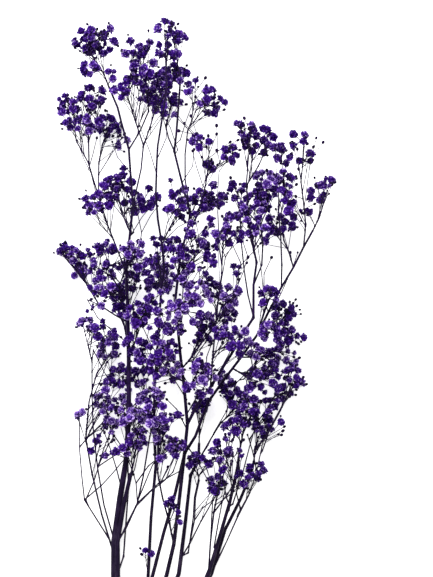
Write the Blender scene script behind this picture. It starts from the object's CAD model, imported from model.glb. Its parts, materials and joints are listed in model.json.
"""Preserved gypsophila, dyed violet: what shows of a loose bunch of eight cut stems.

The script is laid out as an add-on. Each operator builds one kind of piece over the solids of the
frame: the cut stems, the twigs with their buds, the petals and the stage. The plan is in
millimetres. x runs across the bunch, y from the cut ends to the tips and z up from the surface
that the bunch lies on. Routes and tufts are drawn by hand, and blooms, buds and twigs grow round
them by the same seeded rule as in the solids, so both stand at the same places.
"""

import json
import math
import random
from collections import namedtuple
from itertools import product

import bmesh
import bpy
from mathutils import Matrix, Vector

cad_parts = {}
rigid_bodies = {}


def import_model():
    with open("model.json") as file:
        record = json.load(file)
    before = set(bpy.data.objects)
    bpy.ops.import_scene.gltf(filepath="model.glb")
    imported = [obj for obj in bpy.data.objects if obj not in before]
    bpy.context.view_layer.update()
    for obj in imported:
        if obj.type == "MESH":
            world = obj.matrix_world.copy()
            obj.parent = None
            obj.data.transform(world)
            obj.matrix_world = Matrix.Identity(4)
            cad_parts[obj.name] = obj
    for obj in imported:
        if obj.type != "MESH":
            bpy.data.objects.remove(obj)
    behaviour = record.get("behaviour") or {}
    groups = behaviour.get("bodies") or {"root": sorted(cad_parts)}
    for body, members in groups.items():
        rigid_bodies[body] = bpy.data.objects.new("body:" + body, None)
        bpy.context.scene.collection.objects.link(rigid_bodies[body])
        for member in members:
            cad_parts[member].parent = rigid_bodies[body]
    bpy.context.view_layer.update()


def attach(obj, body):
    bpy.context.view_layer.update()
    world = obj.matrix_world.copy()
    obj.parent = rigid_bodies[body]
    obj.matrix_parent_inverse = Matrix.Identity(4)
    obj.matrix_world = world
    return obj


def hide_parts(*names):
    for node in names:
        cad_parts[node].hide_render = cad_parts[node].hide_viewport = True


bl_info = {
    "name": "Preserved Gypsophila",
    "version": (1, 0, 0),
    "blender": (4, 5, 0),
    "location": "3D View > Sidebar > Gypsophila",
    "description": "Builds a loose bunch of dyed gypsophila on a pale floor",
    "category": "Add Mesh",
}

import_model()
BODY = "root"

MM = 0.001  # in metres
UP = Vector((0, 0, 1))
WHITE = (1.0, 1.0, 1.0, 1.0)
PLAN_MIDDLE = Vector((2.4, 275.8, 0.0))  # the plan's point that becomes the origin

SEAT = 0.22  # least gap between a spray's foot and the round that encloses its stem
STEP = 0.05  # step in which the foot is moved to that gap
FOOT_POINTS = 6  # points of the foot that are tested
CLEARANCE = 0.45  # least gap between any other two solids
SAMPLE = 1.0  # spacing of the balls that stand for a stem or a twig in the clearance test
CELL = 10.0  # pitch of the grid that sorts those balls

BLOOM_RADII = (3.0, 5.4, 4.3)  # smallest, largest and usual
BUD_RADII = (1.1, 1.6, 1.3)
BUD_SHARE = 0.35  # share of the buds of a tuft that is modelled
LIMB_RADIUS = 0.68  # of the solids' limbs and twigs
TWIG_RADIUS = 0.42
TILT = math.radians(18)  # most that a bloom leans away from its twig
HEAVY_LIMB = 0.75  # foot of a stem's heavy limb against the stem's own
BUD_SPREAD = 1.25  # how much farther out than blooms the buds of a tuft lie
FLATNESS = 0.9  # height of a tuft against its width
LOW_BLOOM = 0.8  # least height of a bloom's middle, in bloom radii
PLACE_TRIES = 240  # for a tip's free place in its tuft
FORK_ANGLES = (20, 27, 35, 45, 57, 70)  # degrees between a twig and one that forks off it
LONGEST = 1.5  # how many times longer than the shortest a twig may be to find free space
DETOUR = 6.0  # and how much longer still
TOUCH = 0.1  # how far a twig may reach into the balls that stand for others of its own spray
ROOT = 1.5  # length of a twig's root, where it is close to the twig that carries it
ROOT_SHARE = 0.5  # and the most of a twig that counts as its root
FORK_END = 1.2  # least distance of a fork from either end of its stretch
FORK_PITCH = 1.6  # least distance between two forks of one stretch

NECK = 0.8  # from a bloom's middle down to its neck, in bloom radii

FINE_GAIN = 0.08  # added to a twig's radius for the square root of the further tips it carries
LIMB_TAPER = 0.75  # radius of a limb where its last twig starts, against its foot
FOOT_GAINS = {  # thickness of the bark low down, against the solid's, of the stems that swell there
    "stem_left": 2.5, "stem_left_second": 2.3, "stem_right": 2.1, "stem_outer_right": 2.1,
    "stem_short": 2.2}
LIMB_GAIN = 0.11  # the same for a limb that is drawn by hand
LIMB_CAPS = (0.88, 0.7)  # most radius of a limb low down and high up in the bunch
LOW_AND_HIGH = (110.0, 400.0)  # where along the bunch the two of each pair hold
SIDE_FEET = (0.72, 0.42)  # radius of a bare side twig at its foot, low down and high up
SIDE_TIP = 0.65  # and at its tip against that
SIDE_RISE = (1.0, 9.0)  # how much higher than its foot its tip lies
SIDE_SHARES = (0.0, 0.2, 0.4, 0.6, 0.8, 1.0)  # places along a stretch where one may grow from it
SIDE_BEND = 2.0  # how much a bend at the first point counts against a longer root
SIDE_ALONG = 0.6  # least cosine between the root and the stretch that carries it
STEM_ROUND = 8  # sides of a stem, and of a twig
TWIG_ROUND = 5
KNOT_BEND = math.radians(13)  # least bend that has a swollen joint
KNOT_REACH = 2.4  # length of the swelling to either side, in stem radii
KNOT_ROOM = 0.4  # most of a stretch that it takes up
FORK_KNOT = 1.35  # size of the joint where a twig forks off, against its own radius
FORK_KNOT_LONG = 1.5  # and how much longer than wide it is
STEM_KNOT_RINGS = 6  # rings of faces along such a joint, on a stem and on a twig
TWIG_KNOT_RINGS = 4

CALYX_FOOT = -0.86  # foot and rim of the cup under a bloom, from the bloom's middle in bloom radii
CALYX_RIM = -0.3
CALYX_WIDTH = 0.34
CALYX_WAIST = 0.75  # its width halfway up, against that of its rim
BUD_ROUND = 6  # sides of a bud, and its rings of faces
BUD_RINGS = 4

WHORLS = (  # petals, lean in degrees, length and start above the bloom's middle in bloom radii
    (5, 126, 0.74, 0.02), (7, 97, 0.93, 0.0), (6, 64, 0.98, -0.08), (4, 35, 0.94, -0.1),
    (2, 12, 0.86, -0.1))
PETAL_SHAPES = 5  # different petals that the blooms are made of
PETAL_ROWS = 2  # of faces, from its claw to its tip
PETAL_COLUMNS = 2
PETAL_WIDTHS = (0.14, 0.45, 0.38)  # half width at each row, in petal lengths
CORNER = 0.14  # how far the corners of its tip are drawn in
WELD = 0.01  # how close the rims of its two sides lie where they become one
SIDE_SHADE = 0.35  # how much darker its sides are than its middle line
PETAL_TURN = math.radians(16)  # most that a petal is turned out of its place in the whorl
PETAL_NOD = math.radians(11)  # and that it leans more or less than its whorl
PETAL_SIZES = (0.84, 1.14)
PETAL_SHADE = 0.36  # how much paler or darker than its bloom a petal may be
HEART_SIZE = (0.52, 0.52, 0.46)  # the dense middle between the petals, in bloom radii
HEART_LIFT = 0.08
HEART_LIGHT = 0.45  # how far its colour is towards that of a petal's rim

MORE_BLOOMS = 1.8  # blooms added among those of the solids, for each one drawn in a tuft
MORE_BUDS = 1.3
LOOSE_SHARE = 0.35  # of those blooms, in the looser parts
MORE_HEIGHT = 2.0  # how far a further tuft lies above the one next to it
MORE_RADII = (2.0, 5.3, 3.7)  # smallest, largest and usual, of such a bloom
MORE_SPREAD = 1.22  # how much farther out they lie than those of the solids
LEAST_SPREAD = 4.0  # that even a small tuft has for them
OVERLAP = 2.4  # how far an added bloom may reach into another
MORE_TRIES = 60  # for a place that is free
MORE_ANGLES = (12, 16, 21, 27, 34, 42)
MORE_REACH = (8.0, 34.0)  # wanted length of an added twig

MEAN = 0.5  # of the mottling that runs from 0 to 1
PATCHES = (170.0, 2.0)  # places to the metre and levels of detail, here of the petals' patches
CREASES = (1000.0, 2.0)  # of the creases in the dry petals
RIDGES = (1600.0, 3.0)  # of the fine ridges along the bark
WEAR = (90.0, 3.0)  # and of its worn places
RIDGE_STRETCH = 14.0  # how much longer than wide a ridge is
RIM_POWER = 2.1  # how closely the pale colour keeps to the rim of a petal
TONE_LIGHT = 1.45  # light at the rim for the tone of a bloom, and for any bloom
RIM_LIGHT = 0.6
PATCH_LIGHT = 0.5
CREASE_LIGHT = 0.8
WEAR_SHARE = 0.5  # of the worn places in the colour of the bark, with ridges for the rest
PETAL_STOPS = (0.0, 0.34, 0.72, 1.0)  # light at which each colour of a petal holds
BARK_STOPS = (0.38, 0.54, 0.72)
BARK_TURNS = (-0.13, 0.0)  # metres along the bunch where the bark turns more violet
BARK_GLEAM = 0.1  # how much the dry surfaces mirror
PETAL_GLEAM = 0.04
BARK_DULLING = 0.5  # how much their roughness varies
PETAL_DULLING = 0.4
RIDGE_DEPTH = 0.0002  # in metres
RIDGE_STRENGTH = 0.7
CREASE_DEPTH = 0.0003
CREASE_STRENGTH = 0.6
FLOOR_ROUGHNESS = 0.9
FLOOR_GLEAM = 0.5

STALK_BACK = (1.5, 4.5)  # how far under the bloom's neck the stalks start
STALK_LENGTH = (5.0, 11.5)
STALK_ANGLE = (22, 42)  # degrees between a stalk and the twig
STALK_ROUND = 4
SMALL_BUD = (0.85, 1.4)  # radii of the buds on stalks and side twigs

PALE_TUFTS = (  # where the blooms of the bunch are paler than elsewhere
    (-55, 457), (62, 428), (-21, 350), (6, 344), (29, 340), (34, 328), (22, 320), (-11, 316),
    (-86, 312), (7, 268), (22, 268), (-13, 273), (48, 301), (49, 281), (-89, 238), (-14, 195),
    (-45, 373), (12, 332), (-68, 284), (76, 284), (-30, 256), (-56, 250), (-49, 252), (-71, 250),
    (-72, 240), (-40, 244), (-50, 236), (-62, 226), (-29, 227), (-26, 218), (-42, 206))
PALE_REACH = 8.0  # how far from such a place the blooms are paler
PALE_GAIN = 0.95
TONE_SPREAD = (2.4, 5.0)  # the two weights by which the tones of the other blooms are drawn

SHARP = math.radians(65)  # least angle of an edge that isn't shaded smooth
FLOOR_DROP = 0.0002  # how far the floor lies under the bunch, so that no two faces coincide
VIEW_MIDDLE = (0.0186, 0.0634, 0.045)  # the place that the camera looks at
VIEW_DEPTH = 100.0
SENSOR = 36.0  # height of the frame in millimetres
KEY_PLACE = (-0.5, 0.9, 1.5)  # of the large soft light
KEY_SIZE = 1.2

SIDE_TWIGS = (  # routes across the plan of the thin bare twigs between the tufts
    ((-69, 141), (-86, 168), (-88, 186), (-90, 210), (-90, 224), (-90, 236)),
    ((-85, 168), (-78, 184), (-74, 197), (-69, 208), (-62, 220)),
    ((-85, 169), (-72, 180), (-62, 191), (-53, 202)), ((-74, 196), (-62, 204), (-52, 209)),
    ((-75, 195), (-70, 210), (-66, 220), (-64, 230)), ((-89, 212), (-82, 220), (-72, 230), (-64, 240)),
    ((-57, 182), (-60, 194), (-65, 210), (-70, 224)),
    ((-59, 133), (-53, 146), (-43, 166), (-44, 182), (-46, 189)),
    ((-43, 167), (-36, 184), (-31, 196), (-26, 204)), ((-44, 182), (-34, 196), (-24, 204), (-19, 208)),
    ((-43, 166), (-26, 182), (-16, 188), (-7, 193)), ((-24, 183), (-18, 196)),
    ((-50, 181), (-45, 194), (-42, 208)), ((-46, 189), (-50, 200), (-53, 212)),
    ((-28, 199), (-21, 208), (-14, 218)), ((-2, 125), (2, 153), (3, 170), (7, 188), (16, 197), (26, 203)),
    ((7, 188), (13, 197), (18, 201)), ((4, 153), (10, 162), (18, 168)), ((-3, 213), (6, 200), (15, 183)),
    ((6, 200), (14, 212), (19, 223), (29, 240)), ((29, 170), (26, 186), (30, 206), (32, 221), (35, 234)),
    ((16, 132), (17, 154), (18, 170), (22, 180)), ((19, 130), (22, 148), (25, 164), (29, 181)),
    ((31, 160), (35, 178), (39, 194), (40, 214), (38, 230)), ((34, 165), (42, 190), (48, 213), (54, 234)),
    ((38, 156), (48, 174), (54, 194), (58, 213), (64, 230)), ((58, 208), (65, 228), (74, 245), (80, 252)),
    ((40, 162), (37, 174), (40, 188)), ((53, 194), (50, 208), (46, 221)),
    ((18, 112), (29, 134), (38, 155)), ((-48, 381), (-38, 397), (-28, 408)),
    ((-41, 368), (-39, 384), (-32, 397), (-26, 405)), ((-39, 384), (-42, 399), (-45, 410)),
    ((-47, 385), (-53, 399), (-58, 410)), ((-21, 378), (-18, 392), (-13, 400), (-6, 407)),
    ((-19, 379), (-10, 388), (-2, 392)), ((0, 399), (6, 408), (11, 423), (17, 442)),
    ((18, 408), (10, 421), (5, 436), (2, 448)), ((23, 378), (22, 399), (22, 416), (23, 432), (32, 444)),
    ((22, 330), (26, 352), (28, 364), (24, 375), (22, 384)), ((28, 364), (34, 374), (40, 388)),
    ((40, 360), (34, 373), (29, 381)), ((38, 343), (39, 356), (46, 364), (42, 376), (38, 386)),
    ((46, 364), (50, 368), (56, 375)), ((36, 337), (42, 352), (46, 364)),
    ((59, 332), (57, 352), (54, 373)), ((59, 338), (59, 351), (65, 364)),
    ((66, 322), (73, 336), (82, 356), (86, 368)), ((82, 356), (80, 368)),
    ((18, 261), (24, 274), (31, 287), (35, 296)), ((26, 266), (38, 281), (46, 295)),
    ((45, 257), (46, 273), (53, 280)), ((13, 272), (13, 284), (17, 295)),
    ((2, 281), (12, 296), (19, 311)), ((-75, 412), (-80, 432), (-86, 444), (-91, 458)),
    ((-82, 434), (-78, 448), (-75, 460)), ((-50, 392), (-62, 407), (-69, 415)),
    ((-50, 434), (-58, 444), (-62, 456)), ((-45, 384), (-50, 405), (-56, 418)),
    ((-26, 428), (-32, 448), (-40, 468)), ((-26, 442), (-19, 458), (-18, 472)),
    ((-10, 450), (-16, 468), (-24, 480)), ((-8, 458), (-3, 474), (2, 487)),
    ((-5, 426), (2, 437), (3, 450)), ((-83, 330), (-75, 316), (-64, 306), (-56, 300)),
    ((-78, 290), (-69, 272), (-62, 260)), ((-78, 253), (-72, 266), (-67, 280)),
    ((-98, 360), (-85, 346), (-75, 333)), ((-50, 322), (-59, 330), (-69, 340)),
    ((-50, 294), (-62, 306), (-72, 312)), ((-24, 306), (-16, 319), (-10, 330)),
    ((-24, 282), (-32, 295), (-38, 308)), ((-3, 250), (-11, 263), (-18, 274)),
    ((-3, 238), (5, 252), (13, 263), (19, 271)), ((-3, 226), (-11, 242), (-19, 250)),
    ((-50, 234), (-42, 247), (-35, 258)), ((-50, 218), (-40, 231), (-32, 242)),
    ((-53, 208), (-62, 221), (-67, 231)), ((43, 266), (53, 279), (62, 288)),
    ((32, 250), (37, 263), (48, 274), (58, 282)), ((58, 234), (66, 250), (74, 261)),
    ((48, 218), (58, 234), (69, 250)))

LOOSE_PLACES = (  # x, y and reach of the parts of the bunch that are looser than the rest
    (55, 490, 62), (-22, 412, 16), (-22, 383, 14), (93, 412, 18), (-51, 527, 16),
    (-34, 132, 12), (-14, 170, 12), (35, 412, 14), (-80, 383, 14), (-13, 545, 20),
    (90, 380, 14), (34, 440, 16), (-85, 441, 14), (60, 380, 12))

FURTHER_TUFTS = (  # x, y, spread, blooms, buds
    (8, 496, 9, 7, 2), (13, 450, 10, 0, 2), (44, 458, 10, 0, 2), (8, 384, 12, 8, 2),
    (30, 384, 10, 6, 2), (-51, 356, 12, 14, 1), (-24, 353, 12, 9, 1), (5, 356, 12, 11, 1),
    (-76, 330, 9, 5, 2), (-24, 326, 12, 8, 1), (6, 326, 12, 11, 1), (5, 296, 12, 10, 2),
    (-24, 298, 11, 8, 1), (37, 298, 10, 5, 1), (-50, 298, 10, 4, 1), (-24, 269, 10, 5, 1),
    (6, 268, 12, 17, 1), (-50, 243, 12, 12, 1), (62, 268, 10, 8, 2), (-22, 240, 10, 9, 1),
    (61, 240, 12, 10, 3), (-74, 214, 9, 5, 2), (-53, 212, 10, 7, 1), (-24, 214, 9, 5, 1),
    (34, 212, 10, 5, 4), (26, 458, 12, 0, 6), (40, 466, 9, 0, 5), (-56, 468, 6, 0, 4),
    (-38, 536, 8, 0, 4), (-80, 490, 6, 0, 4), (24, 488, 8, 1, 3), (80, 324, 7, 0, 5),
    (70, 226, 6, 0, 4), (25, 204, 8, 2, 4), (-6, 470, 8, 1, 4), (92, 436, 7, 0, 4),
    (100, 452, 6, 0, 3), (35, 352, 9, 3, 1), (6, 134, 4, 1, 1), (-6, 155, 5, 2, 1))

GROWN = {}  # each spray as it grew, by its name
SIDES = {}  # and the routes of its bare side twigs

Stem = namedtuple("Stem", "name foot tip route limbs")
Spray = namedtuple("Spray", "name stem limbs")
Limb = namedtuple("Limb", "route tufts")
Tuft = namedtuple("Tuft", "x y z spread blooms buds")
Tip = namedtuple("Tip", "number kind centre radius")
Twig = namedtuple("Twig", "route tip parent")

STEMS = [
    Stem("stem_left", 1.35, 0.7, [
        (-61, 3, 1.16), (-61, 58, 1.16), (-61, 66, 1.16), (-61.6, 108, 3), (-61.6, 134, 5.5),
        (-57, 170, 10), (-52, 200, 14), (-49.6, 238, 20), (-49.6, 282, 28), (-50.4, 330, 38),
        (-51.2, 352, 43), (-49.6, 370, 47), (-48, 384, 50), (-45.6, 406, 54), (-47.2, 426, 57),
        (-48.8, 450, 60), (-54.4, 470, 62), (-57.6, 483, 63), (-64.8, 500, 64)], []),
    Stem("stem_left_second", 1.2, 0.8, [
        (-56.5, 0, 1.04), (-56.5, 54, 1.04), (-59.2, 108, 6.4), (-59.2, 134, 9.2),
        (-53.6, 166, 13), (-48, 190, 17)], []),
    Stem("stem_inner_left", 1.1, 0.65, [
        (-39, 4, 0.94), (-38.5, 40, 0.94), (-38, 56, 0.94), (-34.4, 108, 3), (-32, 154, 7),
        (-28, 197, 12), (-29.6, 226, 17), (-28.8, 260, 24), (-25.6, 302, 36),
        (-23.2, 338, 48), (-20.8, 354, 54), (-22.4, 374, 60), (-25.6, 394, 66),
        (-27.2, 414, 69), (-26.4, 438, 73), (-25.6, 452, 76), (-19, 492, 84)], []),
    Stem("stem_crossing", 1.2, 0.7, [
        (-50, 8, 1.04), (-47.6, 34, 1.04), (-41, 70, 3.4), (-35.5, 90, 5.3), (-30.4, 108, 7),
        (-21.6, 142, 9.4), (-12.8, 172, 12), (-4.8, 206, 15), (4, 220, 17), (14.4, 248, 20.5),
        (27.2, 266, 25), (40.8, 284, 31), (53.6, 302, 38), (62.4, 320, 42), (72.8, 340, 46),
        (82.4, 356, 49), (90.4, 372, 52), (97.6, 385, 54)], []),
    Stem("stem_centre", 1.35, 0.7, [
        (-34.5, 2, 1.17), (-33.5, 36, 1.17), (-28, 78, 2.6), (-19.2, 108, 5), (-13.6, 132, 9),
        (-9.6, 164, 15), (-4.8, 206, 23), (-2.4, 230, 27), (-4.8, 258, 32), (-8, 286, 37),
        (-12, 330, 45), (-8, 364, 51), (-2.4, 386, 55), (0, 398, 57), (-5.6, 420, 53),
        (-9.6, 436, 50), (-12.8, 449, 48), (-11.2, 462, 47), (-8.4, 498, 47)], [
        [(-2.4, 230, 27), (5.6, 246, 34), (16, 260, 40), (24.8, 274, 46), (33.6, 288, 52),
         (40, 300, 58), (50.4, 316, 64), (50.4, 342, 70), (52.8, 360, 74), (48.8, 378, 78),
         (46, 400, 84)]]),
    Stem("stem_short", 1.0, 0.6, [
        (-28.5, 9, 0.86), (-26.5, 60, 0.86), (-17, 88, 1.3), (-9.6, 108, 2), (-8, 120, 2.4),
        (-4, 152, 3.6), (0, 188, 6), (6.4, 200, 7.5), (6.9, 214, 9)], []),
    Stem("stem_right", 1.05, 0.6, [
        (-21, 5, 0.91), (-18.6, 36, 0.91), (-4.5, 75, 4.4), (14.4, 108, 8), (24, 140, 12),
        (32, 168, 16), (37.6, 194, 20), (40, 210, 23)], []),
    Stem("stem_outer_right", 0.95, 0.6, [
        (-16.5, 12, 0.82), (-12.5, 46, 0.82), (1.6, 78, 1.6), (16.8, 108, 3.5), (28, 144, 6),
        (40, 168, 8), (49.6, 191, 11), (51.2, 200, 12.5)], []),
]

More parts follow.
